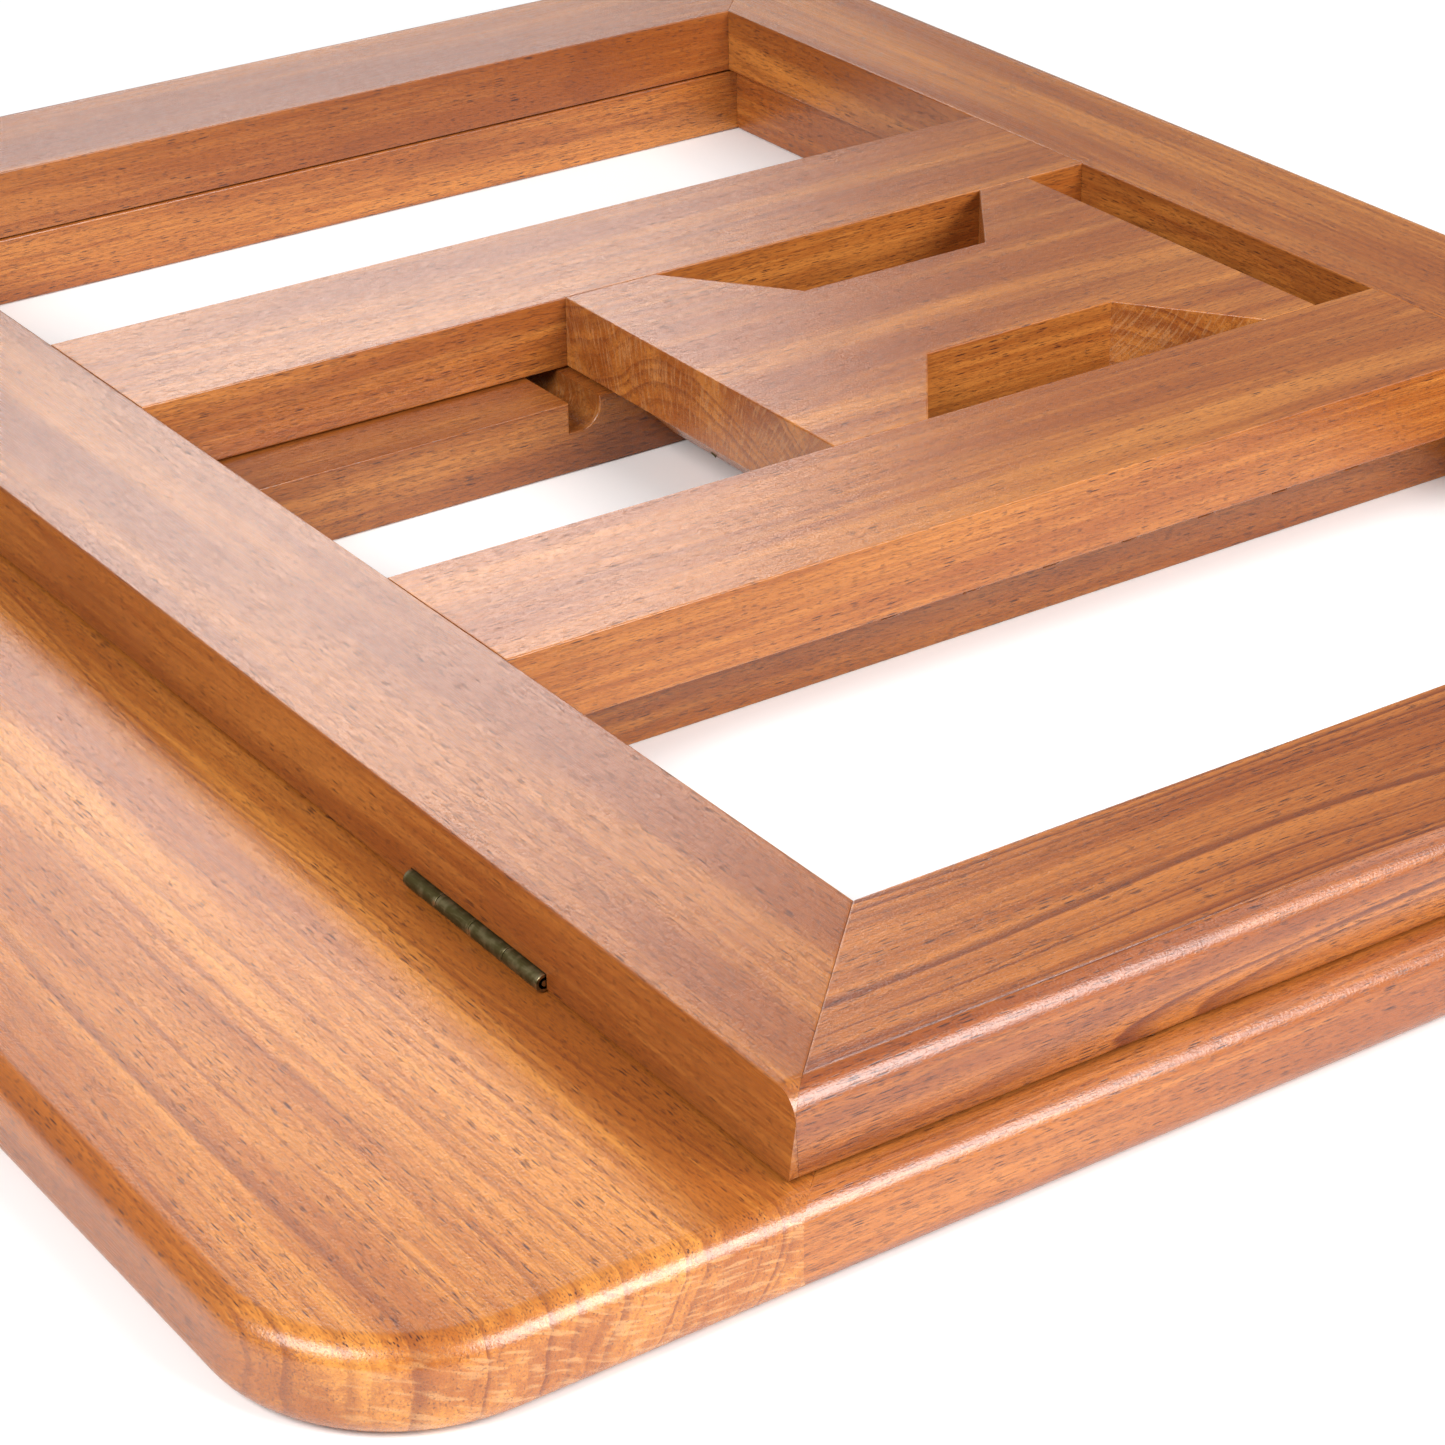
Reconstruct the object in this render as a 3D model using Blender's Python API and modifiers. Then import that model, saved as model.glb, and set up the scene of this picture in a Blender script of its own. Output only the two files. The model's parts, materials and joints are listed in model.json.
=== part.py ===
"""Folding photo album stand in stained beech.

A flat base has a wide front board, whose front is the ledge, and two notched rack bars. A
back rest is hinged on the front board, and a strut under its centre panel drops into the
racks. Modelled folded flat.
Metres, +Z up. +X runs along the hinge line and +Y to the back of the stand.
Plan sizes are measured from the front face of the back rest, in a bench frame whose Y is
moved by BENCH_Y so that the origin ends up under the middle of the stand.
"""
import math

import bmesh
import bpy
from mathutils import Matrix, Vector

# Overall sizes
BASE_HALF_WIDTH = 0.3000
REST_HALF_WIDTH = 0.2943
OPENING_HALF_WIDTH = 0.2431
BOARD = 0.0200
LAYER_GAP = 0.0005
LEDGE_FRONT = -0.1040
BASE_REAR = 0.4100
REST_REAR = 0.4040
BENCH_Y = -(LEDGE_FRONT + BASE_REAR) / 2

# Widths in plan
BOTTOM_RAIL_REAR = 0.0503
TOP_RAIL_FRONT = 0.3558
FRONT_BOARD_REAR = 0.0545
FRONT_BOARD_SHOULDER = -0.0024
BASE_REAR_RAIL_FRONT = 0.3589
SLAT_INNER, SLAT_OUTER = 0.0615, 0.1137
RACK_INNER, RACK_OUTER = 0.0405, 0.0990
PANEL_FRONT, PANEL_REAR = 0.1773, 0.3355
NOTCH_MOUTH = (0.2065, 0.3180)
NOTCH_FLOOR = (0.2320, 0.2935)
NOTCH_DEPTH = 0.0340

# Edges and joints
EDGE_RADIUS = 0.0060
REST_TAPER = 0.0025
LEDGE_CORNER = 0.0410
REAR_CORNER = 0.0120
JOINT_GAP = 0.0003
MITRE_GAP = 0.000225
FIT_GAP = 0.0002
OVERCUT = 0.0100

# Rack slots
SLOT_FRONT = 0.1643
SLOT_WIDTH = 0.0097
SLOT_DEPTH = 0.0085
SLOT_ROUND = 0.0060
SLOT_PITCH = 0.0250
SLOT_COUNT = 7

# Hinges: an unswaged brass butt hinge with two knuckles on each leaf
HINGE_LENGTH = 0.0523
HINGE_CENTRE_X = 0.1824
BARREL_RADIUS = 0.0020
PIN_RADIUS = 0.00068
BORE_RADIUS = 0.00078
LEAF_THICK = 0.0010
LEAF_INSET = 0.0002
LEAF_DEPTH = 0.0165
KNUCKLE_GAP = 0.0002
SCREW_SPREAD = 0.0160
SCREW_BACK = 0.0105
SCREW_HEAD_RADIUS = 0.0024
SCREW_SHANK_RADIUS = 0.0012
SCREW_HEAD_DEPTH = 0.0009
SCREW_LENGTH = 0.0110
SCREW_POINT = 0.0015
SCREW_CLEAR = 0.00015
SINK_RISE = 0.0006
DRIVER_SLOT = (0.0096, 0.0006, 0.0008)

# Joint axes, as bench Y and Z
REST_BOTTOM = BOARD + LAYER_GAP
REST_TOP = REST_BOTTOM + BOARD
REST_AXIS = (-0.0003, BOARD + FIT_GAP + BARREL_RADIUS)
STRUT_AXIS = (0.1840, REST_BOTTOM - BARREL_RADIUS)

# Strut
STRUT_HALF_WIDTH = 0.0380
LEG_INNER = 0.0200
STRUT_BOTTOM = 0.0045
STRUT_TOP = STRUT_AXIS[1] - BARREL_RADIUS + LEAF_INSET - JOINT_GAP
HEAD_BAR_REAR = 0.2080
HEAD_CHAMFER = 0.0120
RUNG = (0.2900, 0.3100)
TAIL_FRONT, TAIL_REAR = 0.3366, 0.3490
TAIL_TOP = 0.0255
FOOT = (0.3430, 0.0260)
FOOT_RADIUS = 0.0040
FOOT_HALF_LENGTH = 0.0590
FOOT_SCREW_DROP = 0.0115
FOOT_SCREW_ACCESS = (0.0028, 0.0200)

# Loose joinery
DOWEL_RADIUS = 0.0040
DOWEL_LENGTH = 0.0300
SPLINE = (0.0240, 0.0360, 0.0030)
SPLINE_SETBACK = 0.0025
REST_SPLINE_HEIGHT = 0.0112
ROUND_SIDES = 16
DOWEL_SIDES = 20
PIN_SIDES = 12
SCREW_SIDES = 12


# ---------------------------------------------------------------- scene and helpers
for old in list(bpy.data.objects):
    bpy.data.objects.remove(old, do_unlink=True)

PARTS = bpy.data.collections.new("photo_album_stand")
CUTTERS = bpy.data.collections.new("cutters")
bpy.context.scene.collection.children.link(PARTS)
bpy.context.scene.collection.children.link(CUTTERS)


def material(name, color, roughness, metallic=0.0):
    """A plain Principled material in the part's own colour."""
    made = bpy.data.materials.new(name)
    made.use_nodes = True
    shader = made.node_tree.nodes["Principled BSDF"]
    shader.inputs["Base Color"].default_value = (*color, 1.0)
    shader.inputs["Roughness"].default_value = roughness
    shader.inputs["Metallic"].default_value = metallic
    return made


def add_object(name, mesh, collection):
    """Put a mesh into the scene under a name."""
    made = bpy.data.objects.new(name, mesh)
    collection.objects.link(made)
    return made


def as_cutter(obj):
    """Mark an object as a tool that is not part of the stand."""
    obj.hide_render = True
    obj.display_type = "WIRE"
    return obj


def mesh_from(bm, name):
    """Turn a bmesh into a mesh."""
    mesh = bpy.data.meshes.new(name)
    bm.normal_update()
    bm.to_mesh(mesh)
    bm.free()
    return mesh


def outline_mesh(name, outline, low, high, frame=Matrix.Identity(4)):
    """Extrude a flat outline between two heights, then turn it by the given frame."""
    curve = bpy.data.curves.new(name, "CURVE")
    curve.dimensions = "2D"
    curve.fill_mode = "BOTH"
    curve.extrude = (high - low) / 2
    spline = curve.splines.new("POLY")
    spline.points.add(len(outline) - 1)
    for point, (u, v) in zip(spline.points, outline):
        point.co = (u, v, 0.0, 1.0)
    spline.use_cyclic_u = True
    carrier = add_object(name, curve, CUTTERS)
    bpy.context.view_layer.update()
    evaluated = carrier.evaluated_get(bpy.context.evaluated_depsgraph_get())
    bm = bmesh.new()
    bm.from_mesh(bpy.data.meshes.new_from_object(evaluated))
    bpy.data.objects.remove(carrier, do_unlink=True)
    bmesh.ops.remove_doubles(bm, verts=bm.verts, dist=1e-6)
    lift = Matrix.Translation((0.0, 0.0, (low + high) / 2))
    bmesh.ops.transform(bm, matrix=frame @ lift, verts=bm.verts)
    bmesh.ops.recalc_face_normals(bm, faces=bm.faces)
    return mesh_from(bm, name)


TO_BENCH = Matrix.Translation((0.0, BENCH_Y, 0.0))
# Side outlines are given as (bench Y, Z) and extruded along X
SIDE_FRAME = TO_BENCH @ Matrix(((0, 0, 1, 0), (1, 0, 0, 0), (0, 1, 0, 0), (0, 0, 0, 1)))


def plan_mesh(name, outline, low, high):
    """A plate cut to an outline in bench X and Y."""
    return outline_mesh(name, outline, low, high, TO_BENCH)


def side_mesh(name, outline, low_x, high_x):
    """A bar along X with an outline in bench Y and Z."""
    return outline_mesh(name, outline, low_x, high_x, SIDE_FRAME)


def rectangle(u0, v0, u1, v1):
    """Corners of a rectangle, anticlockwise."""
    return [(u0, v0), (u1, v0), (u1, v1), (u0, v1)]


def box_mesh(name, low, high):
    """A box between two bench corners."""
    return plan_mesh(name, rectangle(low[0], low[1], high[0], high[1]), low[2], high[2])


def arc(centre, radius, start, stop, steps):
    """Points on an arc, angles in degrees."""
    points = []
    for step in range(steps + 1):
        angle = math.radians(start + (stop - start) * step / steps)
        points.append((centre[0] + radius * math.cos(angle), centre[1] + radius * math.sin(angle)))
    return points


def cylinder_mesh(name, radius, length, sides=ROUND_SIDES):
    """A capped cylinder along its own Z, centred on the origin."""
    bm = bmesh.new()
    bmesh.ops.create_cone(
        bm, cap_ends=True, segments=sides, radius1=radius, radius2=radius, depth=length
    )
    return mesh_from(bm, name)


def shade_round(mesh):
    """Shade smooth with sharp arrises."""
    mesh.shade_smooth()
    mesh.set_sharp_from_angle(angle=math.radians(35))
    return mesh


def boolean(obj, tool, operation="DIFFERENCE"):
    """Cut, join or trim an object with another, by the exact solver."""
    step = obj.modifiers.new(operation.lower(), "BOOLEAN")
    step.operation = operation
    step.solver = "EXACT"
    step.object = tool
    return obj


def bench(x, y, z):
    """World place of a point given in the bench frame."""
    return Vector((x, y + BENCH_Y, z))


def axis_empty(name, axis):
    """An empty on a hinge axis, which its moving pieces hang on."""
    made = bpy.data.objects.new(name, None)
    made.empty_display_type = "SINGLE_ARROW"
    made.empty_display_size = 0.05
    PARTS.objects.link(made)
    made.location = bench(0.0, *axis)
    return made


REST_PIVOT = axis_empty("back_rest_axis", REST_AXIS)
STRUT_PIVOT = axis_empty("strut_axis", STRUT_AXIS)
STRUT_PIVOT.parent = REST_PIVOT
STRUT_PIVOT.location = bench(0.0, *STRUT_AXIS) - REST_PIVOT.location
bpy.context.view_layer.update()


def part(name, mesh, finish, pivot=None):
    """A named sub-part with its own material, hung on its joint's empty when it moves."""
    made = add_object(name, mesh, PARTS)
    made.data.materials.clear()
    made.data.materials.append(finish(name))
    if pivot is not None:
        made.parent = pivot
        made.matrix_parent_inverse = pivot.matrix_world.inverted()
    return made


def beech(name):
    """Stained beech."""
    return material(name, (0.42, 0.17, 0.06), 0.38)


def pale_beech(name):
    """Unstained beech, for loose joinery that is glued out of sight."""
    return material(name, (0.62, 0.43, 0.26), 0.60)


def brass(name):
    """Antique brass."""
    return material(name, (0.30, 0.22, 0.09), 0.38, 1.0)


# ---------------------------------------------------------------- blanks
def rest_blank():
    """The back rest's outer form: sides and rear lean in downwards and are rounded on top."""
    bm = bmesh.new()
    bmesh.ops.create_cube(bm, size=1.0)
    size = Matrix.Diagonal((2 * REST_HALF_WIDTH, REST_REAR, BOARD, 1.0))
    place = Matrix.Translation(bench(0.0, REST_REAR / 2, REST_BOTTOM + BOARD / 2))
    bmesh.ops.transform(bm, matrix=place @ size, verts=bm.verts)
    middle = REST_BOTTOM + BOARD / 2
    rear = REST_REAR + BENCH_Y
    top_edges = []
    for edge in bm.edges:
        on_top = all(vert.co.z > middle for vert in edge.verts)
        at_front = all(vert.co.y < rear - BOARD for vert in edge.verts)
        if on_top and not at_front:
            top_edges.append(edge)
    bmesh.ops.bevel(
        bm, geom=top_edges, offset=EDGE_RADIUS, segments=4, profile=0.5, affect="EDGES"
    )
    for vert in bm.verts:
        if vert.co.z < middle:
            vert.co.x -= math.copysign(REST_TAPER, vert.co.x)
            if vert.co.y > 0.0:
                vert.co.y -= REST_TAPER
    return mesh_from(bm, "rest_blank")


def base_blank():
    """The base's outer form: round front corners and an edge rounded above and below."""
    right, rear, front = BASE_HALF_WIDTH, BASE_REAR, LEDGE_FRONT
    outline = []
    outline += arc((right - LEDGE_CORNER, front + LEDGE_CORNER), LEDGE_CORNER, -90, 0, 10)
    outline += arc((right - REAR_CORNER, rear - REAR_CORNER), REAR_CORNER, 0, 90, 4)
    outline += arc((REAR_CORNER - right, rear - REAR_CORNER), REAR_CORNER, 90, 180, 4)
    outline += arc((LEDGE_CORNER - right, front + LEDGE_CORNER), LEDGE_CORNER, 180, 270, 10)
    flat = plan_mesh("base_outline", outline, 0.0, BOARD)
    bm = bmesh.new()
    bm.from_mesh(flat)
    bmesh.ops.dissolve_limit(
        bm, angle_limit=math.radians(1), verts=bm.verts, edges=bm.edges
    )
    rims = []
    for edge in bm.edges:
        if abs(edge.verts[0].co.z - edge.verts[1].co.z) < BOARD / 2:
            rims.append(edge)
    bmesh.ops.bevel(bm, geom=rims, offset=EDGE_RADIUS, segments=4, profile=0.5, affect="EDGES")
    return mesh_from(bm, "base_blank")


def from_blank(name, blank, outline, pivot=None):
    """One board of a glued blank: the part of the blank inside a plan outline."""
    made = part(name, blank.copy(), beech, pivot)
    saw = plan_mesh(name + "_outline", outline, -BOARD, REST_TOP + BOARD)
    return boolean(made, as_cutter(add_object(name + "_outline", saw, CUTTERS)), "INTERSECT")


def mirrored(outline):
    """The same outline on the left, still anticlockwise."""
    return [(-x, y) for x, y in reversed(outline)]


def mitred_rail(inner_y, outer_y, half_width):
    """A rail with mitred ends, from its inner edge out past its outer edge."""
    slope = (half_width - OPENING_HALF_WIDTH) / abs(outer_y - inner_y)
    tip = half_width + slope * OVERCUT - MITRE_GAP
    far = outer_y + math.copysign(OVERCUT, outer_y - inner_y)
    root = OPENING_HALF_WIDTH - MITRE_GAP
    return [(-root, inner_y), (-tip, far), (tip, far), (root, inner_y)]


def mitred_stile(front, rear, half_width):
    """A right-hand stile between two mitres, each given as its (inner y, outer y)."""
    width = half_width - OPENING_HALF_WIDTH
    grow = 1.0 + OVERCUT / width
    root = OPENING_HALF_WIDTH + MITRE_GAP
    tip = root + width * grow
    front_tip = front[0] + (front[1] - front[0]) * grow
    rear_tip = rear[0] + (rear[1] - rear[0]) * grow
    return [(root, front[0]), (tip, front_tip), (tip, rear_tip), (root, rear[0])]


# ---------------------------------------------------------------- base frame
BASE = base_blank()
BASE_FRONT_MITRE = (FRONT_BOARD_REAR, FRONT_BOARD_SHOULDER)
BASE_REAR_MITRE = (BASE_REAR_RAIL_FRONT, BASE_REAR)


def front_board_outline():
    """The wide front board: square in front, and its two rear corners mitred off."""
    wide = BASE_HALF_WIDTH + OVERCUT
    root = OPENING_HALF_WIDTH - MITRE_GAP
    slope = (FRONT_BOARD_SHOULDER - FRONT_BOARD_REAR) / (BASE_HALF_WIDTH - OPENING_HALF_WIDTH)
    shoulder = FRONT_BOARD_REAR + slope * (wide - root)
    right = [(wide, LEDGE_FRONT - OVERCUT), (wide, shoulder), (root, FRONT_BOARD_REAR)]
    return right + mirrored(right)


front_board = from_blank("front_board", BASE, front_board_outline())
rear_rail = from_blank("base_rear_rail", BASE, mitred_rail(*BASE_REAR_MITRE, BASE_HALF_WIDTH))
side_outline = mitred_stile(BASE_FRONT_MITRE, BASE_REAR_MITRE, BASE_HALF_WIDTH)
right_side = from_blank("right_side_rail", BASE, side_outline)
left_side = from_blank("left_side_rail", BASE, mirrored(side_outline))

# ---------------------------------------------------------------- rack bars
RACK_FRONT = FRONT_BOARD_REAR + JOINT_GAP
RACK_REAR = BASE_REAR_RAIL_FRONT - JOINT_GAP


def slot_outline(front):
    """Upright front wall, and a floor that curves up into the rear wall."""
    floor = BOARD - SLOT_DEPTH
    rear = front + SLOT_WIDTH
    curve = arc((rear - SLOT_ROUND, floor + SLOT_ROUND), SLOT_ROUND, -90, 0, 4)
    return [(front, floor)] + curve + [(rear, BOARD + OVERCUT), (front, BOARD + OVERCUT)]


def rack_outline():
    """The rack bar from the side, with its row of slots left out of the top edge."""
    points = [(RACK_FRONT, 0.0), (RACK_REAR, 0.0), (RACK_REAR, BOARD)]
    for index in reversed(range(SLOT_COUNT)):
        front = SLOT_FRONT + index * SLOT_PITCH
        trimmed = [(y, min(z, BOARD)) for y, z in slot_outline(front)]
        points += trimmed[-2:-1] + trimmed[-3:0:-1] + trimmed[:1] + trimmed[-1:]
    points.append((RACK_FRONT, BOARD))
    return points


rack_bars = {}
for side, sign in (("left", -1), ("right", 1)):
    low, high = sorted((sign * RACK_INNER, sign * RACK_OUTER))
    rack_mesh = side_mesh(side + "_rack_bar", rack_outline(), low, high)
    rack_bars[side] = part(side + "_rack_bar", rack_mesh, beech)

# ---------------------------------------------------------------- back rest frame
REST = rest_blank()
REST_FRONT_MITRE = (BOTTOM_RAIL_REAR, 0.0)
REST_REAR_MITRE = (TOP_RAIL_FRONT, REST_REAR)

bottom_rail = from_blank(
    "bottom_rail", REST, mitred_rail(*REST_FRONT_MITRE, REST_HALF_WIDTH), REST_PIVOT
)
top_rail = from_blank(
    "top_rail", REST, mitred_rail(*REST_REAR_MITRE, REST_HALF_WIDTH), REST_PIVOT
)
stile_outline = mitred_stile(REST_FRONT_MITRE, REST_REAR_MITRE, REST_HALF_WIDTH)
right_stile = from_blank("right_stile", REST, stile_outline, REST_PIVOT)
left_stile = from_blank("left_stile", REST, mirrored(stile_outline), REST_PIVOT)

slats = {}
for side, sign in (("left", -1), ("right", 1)):
    low, high = sorted((sign * SLAT_INNER, sign * SLAT_OUTER))
    slat_mesh = box_mesh(
        side + "_slat",
        (low, BOTTOM_RAIL_REAR + JOINT_GAP, REST_BOTTOM),
        (high, TOP_RAIL_FRONT - JOINT_GAP, REST_TOP),
    )
    slats[side] = part(side + "_slat", slat_mesh, beech, REST_PIVOT)


def panel_outline():
    """The centre panel: a plate waisted by one notch on each side."""
    edge = SLAT_INNER - JOINT_GAP
    waist = SLAT_INNER - NOTCH_DEPTH
    right = [
        (edge, PANEL_FRONT),
        (edge, NOTCH_MOUTH[0]),
        (waist, NOTCH_FLOOR[0]),
        (waist, NOTCH_FLOOR[1]),
        (edge, NOTCH_MOUTH[1]),
        (edge, PANEL_REAR),
    ]
    return right + [(-x, y) for x, y in reversed(right)]


panel_mesh = plan_mesh("centre_panel", panel_outline(), REST_BOTTOM, REST_TOP)
centre_panel = part("centre_panel", panel_mesh, beech, REST_PIVOT)

# ---------------------------------------------------------------- strut
head_outline = [
    (STRUT_AXIS[0] + HEAD_CHAMFER, STRUT_BOTTOM),
    (HEAD_BAR_REAR, STRUT_BOTTOM),
    (HEAD_BAR_REAR, STRUT_TOP),
    (STRUT_AXIS[0], STRUT_TOP),
]
head_mesh = side_mesh("strut_head_bar", head_outline, -STRUT_HALF_WIDTH, STRUT_HALF_WIDTH)
head_bar = part("strut_head_bar", head_mesh, beech, STRUT_PIVOT)

leg_outline = [
    (HEAD_BAR_REAR + JOINT_GAP, STRUT_BOTTOM),
    (TAIL_REAR, STRUT_BOTTOM),
    (TAIL_REAR, TAIL_TOP),
    (TAIL_FRONT, TAIL_TOP),
    (TAIL_FRONT, STRUT_TOP),
    (HEAD_BAR_REAR + JOINT_GAP, STRUT_TOP),
]
saddle_radius = FOOT_RADIUS + FIT_GAP
saddle_mesh = cylinder_mesh("saddle", saddle_radius, 4 * STRUT_HALF_WIDTH, DOWEL_SIDES)
saddle = as_cutter(add_object("saddle", saddle_mesh, CUTTERS))
saddle.location = bench(0.0, *FOOT)
saddle.rotation_euler = (0.0, math.pi / 2, 0.0)
legs = {}
for side, sign in (("left", -1), ("right", 1)):
    low, high = sorted((sign * LEG_INNER, sign * STRUT_HALF_WIDTH))
    leg_mesh = side_mesh(side + "_strut_leg", leg_outline, low, high)
    legs[side] = boolean(part(side + "_strut_leg", leg_mesh, beech, STRUT_PIVOT), saddle)

rung_mesh = box_mesh(
    "strut_rung",
    (JOINT_GAP - LEG_INNER, RUNG[0], STRUT_BOTTOM),
    (LEG_INNER - JOINT_GAP, RUNG[1], STRUT_TOP),
)
rung = part("strut_rung", rung_mesh, beech, STRUT_PIVOT)

foot_mesh = cylinder_mesh("foot_dowel", FOOT_RADIUS, 2 * FOOT_HALF_LENGTH, DOWEL_SIDES)
shade_round(foot_mesh)
foot = part("foot_dowel", foot_mesh, beech)
foot.rotation_euler = (0.0, math.pi / 2, 0.0)
foot.location = bench(0.0, *FOOT)
foot.parent = STRUT_PIVOT
foot.matrix_parent_inverse = STRUT_PIVOT.matrix_world.inverted()


# ---------------------------------------------------------------- hinges and screws
def turned_screw():
    """A countersunk wood screw, head up at the origin: a profile turned about Z."""
    tip = SCREW_LENGTH + SCREW_POINT
    profile = [
        (0.0, 0.0),
        (SCREW_HEAD_RADIUS, 0.0),
        (SCREW_SHANK_RADIUS, -SCREW_HEAD_DEPTH),
        (SCREW_SHANK_RADIUS, -SCREW_LENGTH),
        (0.0, -tip),
    ]
    mesh = bpy.data.meshes.new("screw_profile")
    edges = [(index, index + 1) for index in range(len(profile) - 1)]
    mesh.from_pydata([(x, 0.0, z) for x, z in profile], edges, [])
    return mesh


SCREW_PROFILE = turned_screw()


def add_screw(name, head, upwards, pivot):
    """A slotted screw whose head's face is at the given bench point."""
    made = part(name, SCREW_PROFILE.copy(), brass)
    turn = made.modifiers.new("turn", "SCREW")
    turn.steps = SCREW_SIDES
    turn.render_steps = SCREW_SIDES
    turn.use_merge_vertices = True
    turn.merge_threshold = 0.00005
    turn.use_smooth_shade = True
    made.location = bench(*head)
    made.rotation_euler = (math.pi if upwards else 0.0, 0.0, 0.0)
    if pivot is not None:
        made.parent = pivot
        made.matrix_parent_inverse = pivot.matrix_world.inverted()
    slot = Vector(DRIVER_SLOT) / 2
    tool_mesh = box_mesh(name + "_slot", Vector(head) - slot, Vector(head) + slot)
    return boolean(made, as_cutter(add_object(name + "_slot", tool_mesh, CUTTERS)))


def screw_hole(name, head, upwards):
    """The clearance for one screw: a straight bore with a countersunk mouth."""
    radius = SCREW_SHANK_RADIUS + SCREW_CLEAR
    depth = SCREW_LENGTH + 2 * SCREW_POINT
    bm = bmesh.new()
    bmesh.ops.create_cone(
        bm, cap_ends=True, segments=SCREW_SIDES, depth=depth, radius1=radius, radius2=radius,
        matrix=Matrix.Translation((0.0, 0.0, SINK_RISE - depth / 2)),
    )
    bore = as_cutter(add_object(name + "_bore", mesh_from(bm, name + "_bore"), CUTTERS))
    bm = bmesh.new()
    slope = (SCREW_HEAD_RADIUS - SCREW_SHANK_RADIUS) / SCREW_HEAD_DEPTH
    mouth = SCREW_HEAD_DEPTH + SINK_RISE
    bmesh.ops.create_cone(
        bm, cap_ends=True, segments=SCREW_SIDES, depth=mouth,
        radius1=radius, radius2=radius + slope * mouth,
        matrix=Matrix.Translation((0.0, 0.0, mouth / 2 - SCREW_HEAD_DEPTH)),
    )
    sink = as_cutter(add_object(name + "_sink", mesh_from(bm, name + "_sink"), CUTTERS))
    for tool in (bore, sink):
        tool.location = bench(*head)
        tool.rotation_euler = (math.pi if upwards else 0.0, 0.0, 0.0)
    return bore, sink


def add_leaf(name, centre_x, axis, upper, pivot):
    """One leaf of a hinge: a plate level with one side of the barrel, and two knuckles."""
    y, z = axis
    start = centre_x - HINGE_LENGTH / 2
    side = 1 if upper else -1
    outer_face = z + side * (BARREL_RADIUS - LEAF_INSET)
    inner_face = outer_face - side * LEAF_THICK
    low = (start, y, min(outer_face, inner_face))
    high = (start + HINGE_LENGTH, y + LEAF_DEPTH, max(outer_face, inner_face))
    plate = box_mesh(name, low, high)
    leaf = part(name, plate, brass, pivot)
    knuckle = HINGE_LENGTH / 4
    clear = cylinder_mesh(name + "_clear", BARREL_RADIUS + FIT_GAP, knuckle)
    for index in range(4):
        middle = start + (index + 0.5) * knuckle
        mine = (index % 2 == 0) == upper
        if mine:
            mesh = cylinder_mesh(name + "_knuckle", BARREL_RADIUS, knuckle - KNUCKLE_GAP)
        else:
            mesh = clear.copy()
        tool = as_cutter(add_object(f"{name}_{index}", mesh, CUTTERS))
        tool.rotation_euler = (0.0, math.pi / 2, 0.0)
        tool.location = bench(middle, y, z)
        boolean(leaf, tool, "UNION" if mine else "DIFFERENCE")
    bore_mesh = cylinder_mesh(name + "_pin_bore", BORE_RADIUS, HINGE_LENGTH * 1.2)
    bore = as_cutter(add_object(name + "_pin_bore", bore_mesh, CUTTERS))
    bore.rotation_euler = (0.0, math.pi / 2, 0.0)
    bore.location = bench(centre_x, y, z)
    return boolean(leaf, bore)


def add_hinge(name, centre_x, axis, lower, upper):
    """Two leaves, a pin and four screws; lower and upper are (wooden part, pivot)."""
    y, z = axis
    pin_mesh = shade_round(cylinder_mesh(name + "_pin", PIN_RADIUS, HINGE_LENGTH, PIN_SIDES))
    pin = part(name + "_pin", pin_mesh, brass)
    pin.rotation_euler = (0.0, math.pi / 2, 0.0)
    pin.location = bench(centre_x, y, z)
    if lower[1] is not None:
        pin.parent = REST_PIVOT
        pin.matrix_parent_inverse = REST_PIVOT.matrix_world.inverted()
    for label, is_upper, (wood, pivot) in (("lower", False, lower), ("upper", True, upper)):
        leaf = add_leaf(f"{name}_{label}_leaf", centre_x, axis, is_upper, pivot)
        face = z + (1 if is_upper else -1) * (BARREL_RADIUS - LEAF_INSET - LEAF_THICK)
        for number, offset in enumerate((-SCREW_SPREAD, SCREW_SPREAD), start=1):
            title = f"{name}_{label}_screw_{number}"
            head = (centre_x + offset, y + SCREW_BACK, face)
            add_screw(title, head, is_upper, pivot)
            bore, sink = screw_hole(title, head, is_upper)
            boolean(leaf, bore)
            boolean(leaf, sink)
            boolean(wood, bore)


for side, sign in (("left", -1), ("right", 1)):
    centre = sign * HINGE_CENTRE_X
    half = HINGE_LENGTH / 2 + JOINT_GAP
    mortise_rear = REST_AXIS[0] + LEAF_DEPTH + JOINT_GAP
    mortise_roof = REST_AXIS[1] + BARREL_RADIUS + FIT_GAP
    mortise_mesh = box_mesh(
        side + "_mortise",
        (centre - half, -OVERCUT, REST_BOTTOM - OVERCUT),
        (centre + half, mortise_rear, mortise_roof),
    )
    boolean(bottom_rail, as_cutter(add_object(side + "_mortise", mortise_mesh, CUTTERS)))
    add_hinge(side + "_hinge", centre, REST_AXIS, (front_board, None), (bottom_rail, REST_PIVOT))
add_hinge("strut_hinge", 0.0, STRUT_AXIS, (head_bar, STRUT_PIVOT), (centre_panel, REST_PIVOT))


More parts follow.
